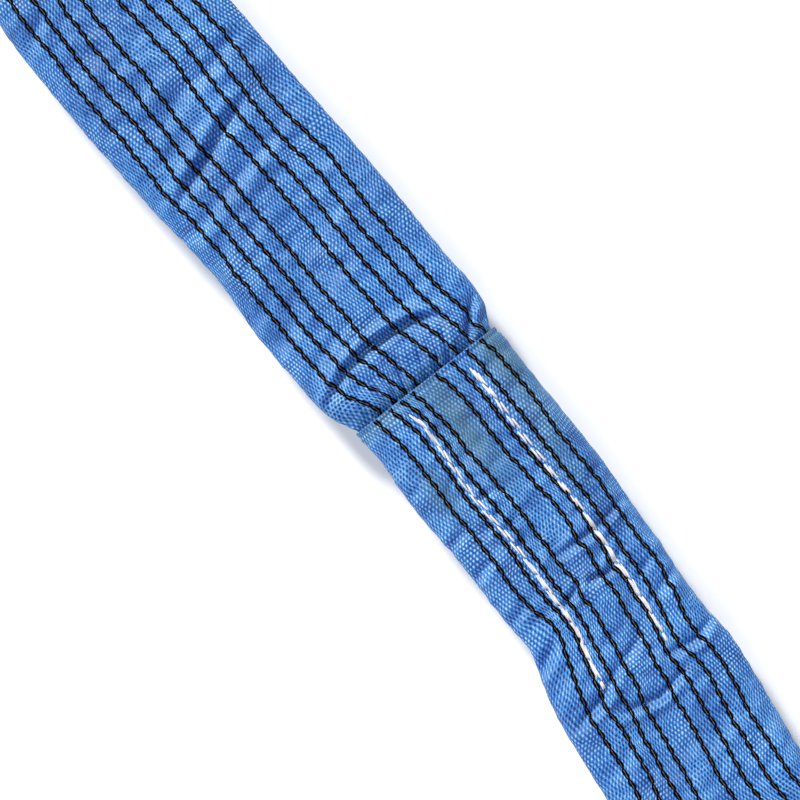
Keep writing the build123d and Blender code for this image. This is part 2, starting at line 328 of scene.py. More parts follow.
# Places where the cloth's lines jog: s, u, how far the jog reaches along and across, and its size
TUCKED_JOGS = [
    (-8, 37, 4.5, 7, -3.2), (-163, -4, 5, 16, -0.9), (-138, -20, 6, 20, 0.8), (-30, -8, 5, 16, -0.9),
]
OUTER_JOGS = [
    (112, 8, 5, 9, -1.4), (118, 9, 4, 8, 1.0), (132, 16, 5, 10, -1.5), (128, -6, 4, 6, 1.2),
    (136, -6, 4, 6, -1.5), (140, -38, 12, 6.5, 4.0), (186, 20, 5, 16, -1.3), (188, -26, 6, 12, -1.4),
    (200, 0, 6, 14, -1.0),
]


RIDGE_AWAY = 1.7  # from the crease's line, in half widths of the crease
RIDGE_WIDE = 1.3


def leg(high_edge, low_edge, x):
    """The middle and half the width of a leg with these two edges."""
    high = through_mm(high_edge, x)
    low = through_mm(low_edge, x)
    return (high + low) / 2, (high - low) / 2


def crease(x, y, corners, depth, width, ridge):
    """How far one crease moves the face at (x, y): a valley along its line, and a ridge beside it."""
    here = x + 1j * y
    best = np.full(x.shape, np.inf)
    signed = along = np.zeros(x.shape)
    runs = np.abs(np.diff(corners))
    starts = np.concatenate([[0], np.cumsum(runs)])
    for start, end, run, before in zip(corners[:-1], corners[1:], runs, starts):
        way = (here - start) * run / (end - start)
        t = np.clip(way.real, 0, run)
        distance = np.abs(way - t)
        nearer = distance < best
        best = np.where(nearer, distance, best)
        signed = np.where(nearer, np.sign(way.imag) * distance, signed)
        along = np.where(nearer, (before + t) / starts[-1], along)
    fade = np.sin(pi * np.clip(along, 0.04, 0.96)) ** 0.6
    beside = bell(np.sign(ridge) * signed / MM - RIDGE_AWAY * width, RIDGE_WIDE * width)
    return (abs(ridge) * beside - depth * bell(best, width * MM)) * fade * MM


def crease_all(x, y, lines):
    """The same for a list of creases, each worked out only where it reaches."""
    total = np.zeros(x.shape)
    for points, depth, width, ridge in lines:
        corners = np.array([complex(*point) for point in points]) * MM
        reach = 4 * width * MM
        near = (x > corners.real.min() - reach) & (x < corners.real.max() + reach)
        near &= (y > corners.imag.min() - reach) & (y < corners.imag.max() + reach)
        if near.any():
            total[near] += crease(x[near], y[near], corners, depth, width, ridge)
    return total


def random_creases(side):
    """Creases of the stretch that nothing else shapes, as (s, u) lines."""
    random = np.random.default_rng(11 + side)
    made = []
    for _ in range(LOOSE_CREASES):
        s = side * random.uniform(SHAPED, HALF_LOOP - 0.04) / MM
        u = random.uniform(-GIRTH / 2, GIRTH / 2) / MM
        lean = random.uniform(-0.6, 0.6)
        reach = random.uniform(8, 24)
        bend = random.uniform(-4, 4)
        points = [(s - lean * reach, u - reach), (s + bend, u), (s + lean * reach, u + reach)]
        made.append((points, random.uniform(0.3, 1.1), random.uniform(2.6, 5), random.uniform(-0.5, 0.5)))
    return made


LOOSE_CREASES = 46

# How far the cloth stands off the plain section, in millimetres: all round, and more on the faces
LUMP, FACE_LUMP, RIPPLE = 0.45, 0.3, 0.10
WRINKLE, FACE_WRINKLE = 0.10, 0.24

CREEP = 0.5 * MM  # of the cloth's lines to and fro across the sling
JITTER = 0.22 * MM
PULLED = (6 * MM, 29 * MM)  # where across a face the rows of stitches draw the cloth, none to all
SIDE_START = 38 * MM  # from the middle of a face
PLEATS = 0.7 * MM
GROOVE = 0.75 * MM  # along a row of stitches
GROOVE_WIDE = 2.2 * MM
PUCKER = 0.34 * MM
PUCKER_LEAN = 0.35
PUCKER_AWAY = 4 * MM  # from the row's line
PUCKER_REACH = 4.5 * MM
PUCKER_PATCH = 57 * MM
SMALL_PUCKER = 6.2 * MM  # from one to the next
DEEP_PUCKER = 0.9 * MM
DEEP_PUCKERS = (92 * MM, 112 * MM)  # they run above the low row, and end here
GATHERS = 0.42 * MM  # of the cloth that goes into the mouth
GATHER_PITCH = 8.3 * MM
FINE_GATHER_PITCH = 5.1 * MM
HEM_LENGTH = 9 * MM
HEM_STEP = 0.35 * MM
HEM_LINE = 0.55 * MM
HEM_LINE_AT = 2.8 * MM

swell = noise(21, (0.075, 0.05, 0.03))
wrinkle = noise(26, (0.017, 0.06, 0.03))
ripple = noise(22, (0.009, 0.02, 0.02), 20)
creep = noise(23, (0.06, 0.05, 0.03))
jitter = noise(25, (0.016, 0.03, 0.03))
pleat = noise(24, (0.011, 0.06, 0.05))


class Sleeve:
    """One half of the sleeve's cloth, from its end in the joint round an eye to the lower leg's middle."""

    def __init__(self, side, edges, height, drift, pulls, jogs, creases):
        self.side, self.tucked = side, side < 0
        self.edges, self.height, self.drift, self.pulls, self.jogs = edges, height, drift, pulls, jogs
        self.creases, self.loose = creases, random_creases(side)
        self.slack_grid = None  # from the cloth simulation

    def place(self, s):
        """The same s for both halves where they meet under the joint."""
        return s + 2 * HALF_LOOP if self.tucked else s

    def spread(self, s, x):
        """The middle of the sleeve across the sling, and half its width and height, at s."""
        upper_middle, upper_half = leg(*self.edges, x)
        lower_middle, lower_half = leg(LOWER_EDGE_HIGH, LOWER_EDGE_LOW, x)
        far = (EYE_START + EYE_END) / 2
        lower = ease(np.abs(s), far - 15 * MM, far + 15 * MM)
        height = through_mm(self.height, s)
        middle = upper_middle + (lower_middle - upper_middle) * lower
        half = upper_half + (lower_half - upper_half) * lower
        return middle, half, height + (HEIGHT / 2 - height) * lower

    def crept(self, s, u, half):
        """Where on the plain section the cloth's line u lies at s."""
        around = 2 * pi * u / GIRTH
        place, across, up = self.place(s), WIDTH / 2 * np.sin(around), HEIGHT * np.cos(around)
        moved = u + CREEP * creep(place, across, up) + JITTER * jitter(place, across, up)
        for jog_s, jog_u, reach_s, reach_u, size in self.jogs:
            moved = moved + size * MM * bell(s / MM - jog_s, reach_s) * bell(u / MM - jog_u, reach_u)
        drift = through_mm(self.drift, s) * fall(np.abs(s), SHAPED, PLAIN)
        high, low = (through_mm(pull, s) for pull in self.pulls)
        for middle, face in ((0, 1), (GIRTH / 2, 0)):
            away = wrap(u - middle)
            shift = face * drift - high * ease(away, *PULLED) + low * ease(-away, *PULLED)
            wanted = (away + shift) * WIDTH / 2 / half
            moved = moved + (wanted - away) * fall(np.abs(away), SIDE_START, GIRTH / 4)
        return moved

    def relief(self, s, u, x, y, y_unit, h_unit):
        """How far the cloth stands off the plain section in lumps, folds and creases."""
        across = WIDTH / 2 * y_unit
        up = HEIGHT / 2 * h_unit
        place = self.place(s)
        inside = ease(s, -8 * MM, -1 * MM) if self.tucked else 0 * s
        on_face = ease(np.abs(h_unit), 0.1, 0.55)
        lumps = (LUMP + FACE_LUMP * on_face) * swell(place, across, up) + RIPPLE * ripple(place, across, up)
        # Wrinkles run across the faces in patches.
        patch = ease(swell(place + 0.3, across, up + 0.1), -0.6, 1.2)
        lumps = lumps + (WRINKLE + FACE_WRINKLE * on_face) * patch * wrinkle(place, across, up)
        move = lumps * MM * (1 - 0.9 * inside)
        facing = ease(h_unit, 0.05, 0.5) * fall(np.abs(s), SETTLE_X, SETTLE_END)
        move = move + crease_all(x, y, self.creases) * facing + crease_all(s, u, self.loose)
        # The inner face of the eye is pressed into small pleats.
        in_eye = ease(np.abs(s), EYE_START - 0.03, EYE_START + 0.01)
        in_eye = in_eye * fall(np.abs(s), EYE_END - 0.01, EYE_END + 0.03)
        return move + PLEATS * in_eye * ease(-h_unit, 0.2, 0.8) * pleat(place, across, up)

    def slack(self, s, u):
        """How far the cloth simulation moved the cloth off its face at (s, u)."""
        if self.slack_grid is None:
            return 0 * (s + u)
        row = (s - self.slack_start) / SIM_STEP
        return grid_value(self.slack_grid, row, (u / GIRTH + 0.5) * SIM_COLUMNS)

    def rows(self, s):
        """The cloth's lines that the rows of stitches follow: two on the upper face, two on the lower."""
        under = GIRTH / 2 + 0 * s
        return [through_mm(HIGH_ROW, s), through_mm(LOW_ROW, s), under - SEAM_LINE, under + SEAM_LINE]

    def sewing(self, s, u):
        """The rows of stitches pull a shallow groove, with small puckers across it."""
        if self.tucked:
            return 0 * (s + u)
        sewn = ease(s, SEAM_START - 5 * MM, SEAM_START + 2 * MM)
        sewn = sewn * fall(s, SEAM_END - 2 * MM, SEAM_END + 5 * MM)
        total = 0
        for turn, row in enumerate(self.rows(s)):
            away = wrap(u - row)
            slant = 2 * pi * (s + PUCKER_LEAN * away)
            deep_side = ease(away, 0, 2 * MM) * fall(s, *DEEP_PUCKERS) if turn == 1 else 0
            waves = np.sin(slant / STITCH_PITCH + turn)
            waves = waves + 0.35 * (1 - deep_side) * np.sin(slant / SMALL_PUCKER)
            strong = 0.5 + 0.8 * np.sin(2 * pi * s / PUCKER_PATCH + 2.1 * turn) ** 2
            size = PUCKER * strong * (1 - deep_side) + DEEP_PUCKER * deep_side
            total = total - GROOVE * bell(away, GROOVE_WIDE)
            total = total + size * waves * bell(np.abs(away) - PUCKER_AWAY, PUCKER_REACH)
        return total * sewn

    def hem(self, s, u):
        """The turned-in edge makes a flat rim with a shallow line behind it."""
        if self.tucked:
            gather = np.sin(2 * pi * u / GATHER_PITCH + 2 * np.sin(u / (11 * MM)))
            gather = gather + 0.6 * np.sin(2 * pi * u / FINE_GATHER_PITCH + 1.0)
            return GATHERS * gather * ease(s, -18 * MM, -4 * MM) * fall(s, -0.5 * MM, 3 * MM)
        step = HEM_STEP * fall(s, HEM_LENGTH, HEM_LENGTH + 4 * MM)
        return step - HEM_LINE * bell(s - HEM_LINE_AT, 0.8 * MM)

    def stand(self, s, u):
        """How far the cloth at (s, u) stands off the plain section."""
        x = loop_line(s)[0]
        middle, half, _ = self.spread(s, x)
        y_unit, h_unit, _, _ = section(self.crept(s, u, half))
        folds = self.relief(s, u, x, middle + half * y_unit, y_unit, h_unit)
        return folds + self.sewing(s, u) + self.hem(s, u) + self.slack(s, u)

    def climb_for_painted_light(self, s, u):
        """How steeply the cloth's creases and puckers climb along the loop, which sets the painted light and
        shade on the cloth.
        """
        step = 1.2 * MM
        s, u = np.broadcast_arrays(s, u)
        return (self.stand(s + step, u) - self.stand(s - step, u)) / (2 * step)

    def points(self, s, u, lift=0.0):
        """The cloth's points at (s, u), or points lifted off its face."""
        s, u = np.broadcast_arrays(np.asarray(s, float), np.asarray(u, float))
        x, z, normal_x, normal_z = loop_line(s)
        middle, half, high = self.spread(s, x)
        y_unit, h_unit, normal_y, normal_h = section(self.crept(s, u, half))
        flat_y = middle + half * y_unit
        move = self.stand(s, u)
        height = high * h_unit + normal_h * move
        # Faces that lie on each other or on the ground stay flat.
        free_inside = ease(np.abs(x), SETTLE_X - 0.03, SETTLE_X + 0.02)
        height = np.maximum(height, -HEIGHT / 2 - 10 * MM * free_inside)
        on_ground = ease(np.abs(s), EYE_END - 10 * MM, EYE_END + 4 * MM)
        height = np.minimum(height, HEIGHT / 2 + 10 * MM * (1 - on_ground))
        height = height + lift * normal_h
        across = np.clip(flat_y + normal_y * (move + lift), -WIDTH_LIMIT, WIDTH_LIMIT)
        return np.stack([x + normal_x * height, across, np.maximum(z + normal_z * height, 0)], -1)

    def directions(self, s, u):
        """Unit vectors at (s, u): along the loop, round the section, and off the face."""
        step = 0.5 * MM
        along = unit(self.points(s + step, u) - self.points(s - step, u))
        around = self.points(s, u + step) - self.points(s, u - step)
        around = unit(around - along * np.sum(around * along, -1, keepdims=True))
        return along, around, np.cross(along, around)


# ---- meshes


def add_object(name, data):
    made = bpy.data.objects.new(name, data)
    bpy.context.scene.collection.objects.link(made)
    return made


def make_piece(name, points, quads, *materials):
    mesh = bpy.data.meshes.new(name)
    mesh.vertices.add(len(points))
    mesh.vertices.foreach_set("co", np.asarray(points, np.float32).ravel())
    mesh.loops.add(quads.size)
    mesh.loops.foreach_set("vertex_index", np.asarray(quads, np.int32).ravel())
    mesh.polygons.add(len(quads))
    mesh.polygons.foreach_set("loop_start", np.arange(0, quads.size, 4, dtype=np.int32))
    mesh.polygons.foreach_set("use_smooth", np.ones(len(quads), bool))
    mesh.update(calc_edges=True)
    for material in materials:
        mesh.materials.append(material)
    return add_object(name, mesh)


def grid_value(grid, row, column):
    """A smooth value of the grid between its rows and columns. The columns go round."""
    row = np.clip(row, 0, len(grid) - 1)
    first_row, first_column = np.floor(row).astype(int), np.floor(column).astype(int)

    def shares(t):
        square, cube = t * t, t**3
        return (2 * square - t - cube, 2 - 5 * square + 3 * cube, t + 4 * square - 3 * cube, cube - square)

    total = 0
    for i, row_share in enumerate(shares(row - first_row)):
        near_row = np.clip(first_row + i - 1, 0, len(grid) - 1)
        for j, column_share in enumerate(shares(column - first_column)):
            total = total + row_share * column_share * grid[near_row, (first_column + j - 1) % grid.shape[1]]
    return total / 4


def lay_cloth_map(piece, corners):
    """The cloth's own coordinates at each face's corners, in metres, for its weave."""
    layer = piece.data.uv_layers.new(name="cloth")
    layer.data.foreach_set("uv", np.asarray(corners, np.float32).ravel())


def tube_quads(rings, around):
    """Faces of a tube closed round, facing out if each ring turns right-handed about the tube's way."""
    a = np.arange(rings * around - around).reshape(-1, around)
    b = np.roll(a, -1, 1)
    return np.stack([a, b, b + around, a + around], -1).reshape(-1, 4)


def columns_round(count):
    """Even places round the tube."""
    return (np.arange(count) / count - 0.5) * GIRTH


class Batch:
    """Many small closed tubes gathered into one mesh."""

    def __init__(self):
        self.points, self.quads, self.slots, self.count = [], [], [], 0

    def tube(self, centres, side, up, half_wide, half_high, around=4, slot=0):
        """A tube along centres, 4 or 6 points in each ring. side x up is the way that centres runs."""
        rings = len(centres)
        angle = 2 * pi * np.arange(around) / around
        wide = np.broadcast_to(half_wide, rings)[:, None] * np.cos(angle)
        high = np.broadcast_to(half_high, rings)[:, None] * np.sin(angle)
        ring = centres[:, None] + side[:, None] * wide[..., None] + up[:, None] * high[..., None]
        fan = np.array([[0, 1, 2, 3]] if around == 4 else [[0, 1, 2, 3], [0, 3, 4, 5]])
        quads = np.concatenate([tube_quads(rings, around), fan[:, ::-1], fan + (rings - 1) * around])
        self.points.append(ring.reshape(-1, 3))
        self.quads.append(quads + self.count)
        self.slots.append(np.full(len(quads), slot))
        self.count += rings * around

    def piece(self, name, *materials):
        quads = np.concatenate(self.quads)
        piece = make_piece(name, np.concatenate(self.points), quads, *materials)
        piece.data.polygons.foreach_set("material_index", np.concatenate(self.slots).astype(np.int32))
        return piece


# ---- materials


def colour(red, green, blue):
    """An sRGB colour in steps of 255, as a shader takes it."""
    parts = np.array([red, green, blue]) / 255
    return (*np.where(parts <= 0.04045, parts / 12.92, ((parts + 0.055) / 1.055) ** 2.4), 1.0)


class Shader:
    """A material made of nodes. An input takes a number, a colour, a vector or another node's output."""

    def __init__(self, name):
        self.material = bpy.data.materials.new(name)
        self.material.use_nodes = True
        self.tree = self.material.node_tree
        self.surface = self.tree.nodes["Principled BSDF"]

    def put(self, socket, value):
        if isinstance(value, bpy.types.NodeSocket):
            self.tree.links.new(value, socket)
        else:
            socket.default_value = value

    def node(self, kind, inputs, output=0, **settings):
        made = self.tree.nodes.new("ShaderNode" + kind)
        for setting, value in settings.items():
            setattr(made, setting, value)
        for key, value in inputs.items():
            self.put(made.inputs[key], value)
        return made.outputs[output]

    def math(self, operation, first, second=0.0, third=0.0):
        return self.node("Math", {0: first, 1: second, 2: third}, operation=operation)

    def vector(self, operation, first, second):
        output = "Value" if operation == "DOT_PRODUCT" else "Vector"
        return self.node("VectorMath", {0: first, 1: second}, output, operation=operation)

    def noise(self, where, size, detail=2.0, output=0):
        """Noise with features of about size, in metres."""
        return self.node("TexNoise", {"Vector": where, "Scale": 1 / size, "Detail": detail}, output)

    def mix(self, factor, first, second, blend="MIX"):
        inputs = {0: factor, 6: first, 7: second}
        return self.node("Mix", inputs, 2, data_type="RGBA", blend_type=blend)

    def ramp(self, factor, *stops):
        """Colours by factor, from (position, red, green, blue) stops in steps of 255."""
        made = self.tree.nodes.new("ShaderNodeValToRGB")
        elements = made.color_ramp.elements
        while len(elements) < len(stops):
            elements.new(0.5)
        for element, (position, *shade) in zip(elements, stops):
            element.position = position
            element.color = colour(*shade)
        self.put(made.inputs[0], factor)
        return made.outputs[0]

    def bump(self, height, depth):
        return self.node("Bump", {"Height": height, "Distance": depth, "Strength": 1.0})

    def finish(self, **inputs):
        for name, value in inputs.items():
            title = name.replace("_", " ").title().replace("Ior", "IOR")
            self.put(self.surface.inputs[title], value)
        return self.material


# The two slanting rows of floats: how fast each wave runs along and across the cloth, in radians a metre
FLOATS = [(0.138 * 2 * pi / MM, -0.512 * 2 * pi / MM), (0.335 * 2 * pi / MM, 0.530 * 2 * pi / MM)]


def woven_cloth():
    """Blue filament cloth: rows of yarn floats on a slant, each about 1 mm by 2 mm, with painted highlights
    on the floats and painted shade between them.
    """
    cloth = Shader("woven_sleeve_cloth")
    place = cloth.node("UVMap", {}, uv_map="cloth")
    for size, reach in ((0.016, 0.0030), (0.0035, 0.0009)):
        drift = cloth.vector("SUBTRACT", cloth.noise(place, size, 1.0, "Color"), (0.5, 0.5, 0.5))
        place = cloth.vector("ADD", place, cloth.vector("MULTIPLY", drift, (reach, reach, 0)))
    first, second = (cloth.vector("DOT_PRODUCT", place, (along, across, 0)) for along, across in FLOATS)
    both = cloth.math("ADD", first, second)
    # The floats run together into fine lines one way or another from place to place.
    sway = cloth.noise(cloth.vector("ADD", place, (3.1, 1.7, 0)), 0.022, 1.0)
    upright = cloth.noise(cloth.vector("ADD", place, (7.7, 2.9, 0)), 0.03, 1.0)
    waves = 0.0
    for angle, patch, slope, least in (
        (first, sway, -1.4, 1.6), (second, sway, 1.4, 0.2), (both, upright, 4.0, -1.9),
    ):
        share = cloth.math("MULTIPLY_ADD", patch, slope, least)
        waves = cloth.math("MULTIPLY_ADD", cloth.math("COSINE", angle), share, waves)
    height = cloth.math("MULTIPLY_ADD", waves, 0.21, 0.5)
    float_highlight_and_shade = cloth.math("ADD", height, -0.78)
    for size, detail, share in ((0.0006, 2.0, 0.75), (0.0018, 1.0, 0.42), (0.012, 2.0, 0.38)):
        float_highlight_and_shade = cloth.math("MULTIPLY_ADD", cloth.noise(place, size, detail), share, float_highlight_and_shade)
    # Over the yarn's own blue, the float crowns get painted highlights up to near white-cyan, and the gaps
    # between floats get painted shade.
    shade = cloth.ramp(
        float_highlight_and_shade,
        (0.08, 3, 22, 78),
        (0.24, 20, 72, 150),
        (0.42, 46, 114, 196),
        (0.68, 80, 156, 222),
        (0.95, 188, 230, 248),
    )
    patches = cloth.noise(place, 0.05, 3.0)
    tone = cloth.ramp(patches, (0.3, 196, 206, 222), (0.7, 255, 255, 255))
    shade = cloth.mix(1.0, shade, tone, "MULTIPLY")
    # Painted light and shade: where the cloth's creases and puckers climb along the loop it is painted
    # lighter and cyan, as if facing the key light, and where they fall it is painted deep blue, as if turned
    # from it.
    climb_for_painted_light = cloth.node("Attribute", {}, "Fac", attribute_name="climb_for_painted_light")
    for share, most, tint, blend in (
        (-1.3, 0.5, colour(120, 150, 220), "MULTIPLY"), (0.8, 0.3, colour(96, 116, 110), "SCREEN"),
    ):
        steep = cloth.math("MAXIMUM", cloth.math("MULTIPLY", climb_for_painted_light, share), 0.0)
        shade = cloth.mix(cloth.math("MINIMUM", steep, most), shade, cloth.mix(1.0, shade, tint, blend))
    soiled = cloth.math("MULTIPLY", cloth.node("Attribute", {}, "Fac", attribute_name="soil"), patches)
    soiled = cloth.math("MULTIPLY", soiled, 2.3)
    shade = cloth.mix(soiled, shade, cloth.mix(0.58, shade, colour(70, 100, 92)))
    grain = cloth.noise(place, 0.0006, 2.0)
    depth = cloth.math("ADD", height, cloth.math("MULTIPLY", grain, 0.5))
    return cloth.finish(
        base_color=shade,
        roughness=cloth.math("MULTIPLY_ADD", grain, 0.25, 0.42),
        specular_ior_level=0.30,
        sheen_weight=0.06,
        sheen_roughness=0.45,
        normal=cloth.bump(depth, 0.00036),
    )


def yarn(name, dark, light, size, roughness, depth, gloss=0.3, sheen=0.1):
    """Twisted yarn: fine lengthwise grain, lighter where filaments catch the light."""
    made = Shader(name)
    place = made.node("TexCoord", {}, "Object")
    grain = made.noise(place, size, 3.0)
    tone = made.noise(place, 0.02, 2.0)
    blend = made.math("MULTIPLY_ADD", tone, 0.4, made.math("MULTIPLY", grain, 0.6))
    shade = made.ramp(blend, (0.3, *dark), (0.7, *light))
    return made.finish(
        base_color=shade,
        roughness=made.math("MULTIPLY_ADD", grain, 0.2, roughness - 0.1),
        specular_ior_level=gloss,
        sheen_weight=sheen,
        normal=made.bump(grain, depth),
    )


cloth_material = woven_cloth()
black_yarn = yarn("black_marker_yarn", (0, 0, 2), (5, 7, 15), 0.0005, 0.8, 0.0001, 0.04, 0.0)
grey_yarn = yarn("marker_filler_yarn", (48, 50, 58), (128, 124, 124), 0.0005, 0.7, 0.0001, 0.2, 0.0)
white_thread = yarn("white_seam_thread", (188, 190, 202), (248, 248, 248), 0.0006, 0.75, 0.00015)
core_yarn = yarn("off_white_core_yarn", (206, 200, 184), (240, 236, 226), 0.001, 0.8, 0.0003)
tape_material = yarn("core_tape", (214, 208, 190), (236, 232, 218), 0.002, 0.45, 0.0001)

LABEL_THICK = 0.5 * MM
LABEL_LONG = 70 * MM
LABEL_INSET = 3.5 * MM
LABEL_STITCH = 3.2 * MM
LABEL_THREAD = 0.5 * MM
LABEL_WIDE = label_high[1] - label_low[1]
LABEL_X = (label_low[0] + label_high[0]) / 2 + HEIGHT / 2 * sin(SLOPE)
LABEL_S = SETTLE_END + (LABEL_X - SETTLE_X - SETTLE_RADIUS * sin(SLOPE)) / cos(SLOPE)


def label_cloth():
    """Pale blue coated cloth with a fine plain weave and an empty printed panel: a frame and six rules."""
    label = Shader("label_cloth")
    place = label.vector("SUBTRACT", label.node("UVMap", {}, uv_map="cloth"), (LABEL_S, 0, 0))
    weave = 1.0
    for way in ((1, 0, 0), (0, 1, 0)):
        thread = label.vector("DOT_PRODUCT", place, np.multiply(way, 2 * pi / LABEL_THREAD))
        weave = label.math("MULTIPLY", weave, label.math("SINE", thread))
    wear = label.noise(place, 0.012, 4.0)
    shade = label.ramp(wear, (0.30, 120, 172, 218), (0.55, 150, 196, 234), (0.8, 168, 208, 240))
    ways = ((1, 0, 0), (0, 1, 0))
    long, wide = (label.math("ABSOLUTE", label.vector("DOT_PRODUCT", place, way)) for way in ways)
    frame_long, frame_wide, rule, half_line = 27 * MM, 22 * MM, 9 * MM, 0.35 * MM
    from_rule = label.math("PINGPONG", label.math("ADD", long, rule / 2), rule / 2)
    ink = label.math("COMPARE", from_rule, 0.0, half_line)
    for where, half in ((long, frame_long), (wide, frame_wide)):
        ink = label.math("MAXIMUM", ink, label.math("COMPARE", where, half - half_line, half_line))
    for where, half in ((long, frame_long), (wide, frame_wide)):
        ink = label.math("MULTIPLY", ink, label.math("LESS_THAN", where, half))
    ink = label.math("MULTIPLY", ink, label.math("MULTIPLY_ADD", wear, 0.5, 0.45))
    shade = label.mix(ink, shade, colour(24, 62, 128))
    return label.finish(base_color=shade, roughness=0.5, sheen_weight=0.1, normal=label.bump(weave, 0.00004))


# ---- cloth simulation

SIM_STEP = 6 * MM
SIM_COLUMNS = 36
SIM_FRAMES = 20
GROWTH = 0.03  # the cloth has this much more length and width than the shape it lies on
PRESSURE = 1.5  # the core pushes it out
LIGHT_HOLD = 0.42  # of the free cloth
SLACK_LIMIT = 1.3 * MM  # outwards
SLACK_LIMIT_INWARD = 0.5 * MM
SLACK_SHARE = 0.35  # of how far the simulation moves the cloth


def settle(sleeve):
    """Buckles the sleeve by Blender's Cloth, and keeps how far it moved off its face, as a grid."""
    count = int(HALF_LOOP / SIM_STEP)
    rows = np.arange(count + 1) * SIM_STEP - sleeve.tucked * (count * SIM_STEP)
    s, u = np.broadcast_arrays(rows[:, None], columns_round(SIM_COLUMNS))
    start = sleeve.points(s, u)
    _, _, off = sleeve.directions(s, u)
    piece = make_piece("settling", start.reshape(-1, 3), tube_quads(*s.shape)[:, ::-1])

    # It is held where it ends, where it is sewn, and where it is pressed on the other leg or the floor.
    _, h_unit, _, _ = section(u)
    held = 1 - ease(np.abs(s), 6 * MM, 20 * MM) + ease(np.abs(s), HALF_LOOP - 40 * MM, HALF_LOOP - 15 * MM)
    held = held + ease(-h_unit, 0.2, 0.6) * fall(np.abs(start[..., 0]), SETTLE_X, SETTLE_X + 10 * MM)
    held = held + ease(h_unit, 0.2, 0.6) * ease(np.abs(s), EYE_END - 15 * MM, EYE_END)
    if not sleeve.tucked:
        for row in sleeve.rows(s):
            held = held + fall(np.abs(wrap(u - row)), 3 * MM, 5 * MM) * fall(s, SEAM_END, SEAM_END + 3 * MM)
    group = piece.vertex_groups.new(name="held")
    for index, weight in enumerate(np.clip(held, LIGHT_HOLD, 1).ravel()):
        group.add([index], float(weight), "REPLACE")

    cloth = piece.modifiers.new("cloth", "CLOTH")
    settings = cloth.settings
    settings.vertex_group_mass = group.name
    settings.quality = 6
    settings.mass = 0.1
    settings.tension_stiffness = settings.compression_stiffness = 15
    settings.shear_stiffness = 8
    settings.bending_stiffness = 0.05
    settings.shrink_min = -GROWTH
    settings.use_pressure = True
    settings.uniform_pressure_force = PRESSURE
    settings.effector_weights.gravity = 0
    cloth.point_cache.frame_start = 1
    cloth.point_cache.frame_end = SIM_FRAMES
    scene = bpy.context.scene
    for frame_number in range(1, SIM_FRAMES + 1):
        scene.frame_set(frame_number)
    settled = np.empty(start.size, np.float32)
    piece.evaluated_get(bpy.context.evaluated_depsgraph_get()).data.vertices.foreach_get("co", settled)
    scene.frame_set(1)
    bpy.data.objects.remove(piece)

    # The sleeve's sides lie in their fold and stay put; its faces keep the buckles, out more than in.
    moved = np.sum((settled.reshape(start.shape) - start) * off, -1)
    moved = moved - moved.mean(1, keepdims=True)
    limit = np.where(moved > 0, SLACK_LIMIT, SLACK_LIMIT_INWARD)
    kept = (1 - np.clip(held, 0, 1)) * ease(np.abs(h_unit), 0.25, 0.75)
    sleeve.slack_grid = limit * np.tanh(SLACK_SHARE * moved / limit) * kept
    sleeve.slack_start = rows[0]


# ---- sleeves

outer = Sleeve(
    1, (OUTER_EDGE_HIGH, OUTER_EDGE_LOW), OUTER_HEIGHT, OUTER_DRIFT, (OUTER_HIGH_PULL, OUTER_LOW_PULL),
    OUTER_JOGS, OUTER_CREASES,
)
tucked = Sleeve(
    -1, (TUCKED_EDGE_HIGH, TUCKED_EDGE_LOW), TUCKED_HEIGHT, TUCKED_DRIFT, (TUCKED_HIGH_PULL, TUCKED_LOW_PULL),
    TUCKED_JOGS, TUCKED_CREASES,
)
settle(outer)
settle(tucked)

MOUTH_FINE = 16 * MM  # of each sleeve at the mouth, with the finest rows
SEEN = 0.27  # of each sleeve, with fine rows
COLUMNS = 176
rows_along = np.concatenate([
    np.arange(0, MOUTH_FINE, 0.6 * MM),
    np.arange(MOUTH_FINE, SEEN, 1.4 * MM),
    np.linspace(SEEN, HALF_LOOP, int((HALF_LOOP - SEEN) / (2.45 * MM))),
])

SOIL = [  # x, y, how far the patch reaches along and across, in millimetres, and its strength
    (26, 2, 34, 9, 0.9), (10, 38, 40, 9, 0.9), (50, -29, 16, 7, 0.6), (2, -30, 7, 22, 0.5),
    (70, 32, 26, 7, 0.4),
]


def soil(x, y):
    """Where the sleeve has been handled and rubbed, round its mouth."""
    total = 0
    for middle_x, middle_y, reach_x, reach_y, strength in SOIL:
        total = total + strength * bell(x / MM - middle_x, reach_x) * bell(y / MM - middle_y, reach_y)
    return np.clip(total, 0, 1)


def make_sleeve(sleeve, name, rows, lifts):
    """The sleeve's cloth from a list of rows along it, each at its lift off the outer face."""
    columns = columns_round(COLUMNS)
    points = sleeve.points(rows[:, None], columns, lifts[:, None])
    quads = tube_quads(len(rows), COLUMNS)[:, ::-1]
    piece = make_piece(name, points.reshape(-1, 3), quads, cloth_material)
    ring, column = np.divmod(quads, COLUMNS)
    joins = (column == 0) & (np.max(column, 1, keepdims=True) == COLUMNS - 1)
    lay_cloth_map(piece, np.stack([sleeve.place(rows[ring]), columns[column] + joins * GIRTH], -1))
    dirt = soil(points[..., 0], points[..., 1]) * (points[..., 2] > UPPER_Z) * (0.0 if sleeve.tucked else 1.0)
    # The climb carries painted light and shade onto the cloth; the soil is real dirt round the mouth.
    for kind, values in (("soil", dirt), ("climb_for_painted_light", sleeve.climb_for_painted_light(rows[:, None], columns))):
        attribute = piece.data.attributes.new(kind, "FLOAT", "POINT")
        attribute.data.foreach_set("value", values.astype(np.float32).ravel())
    return piece


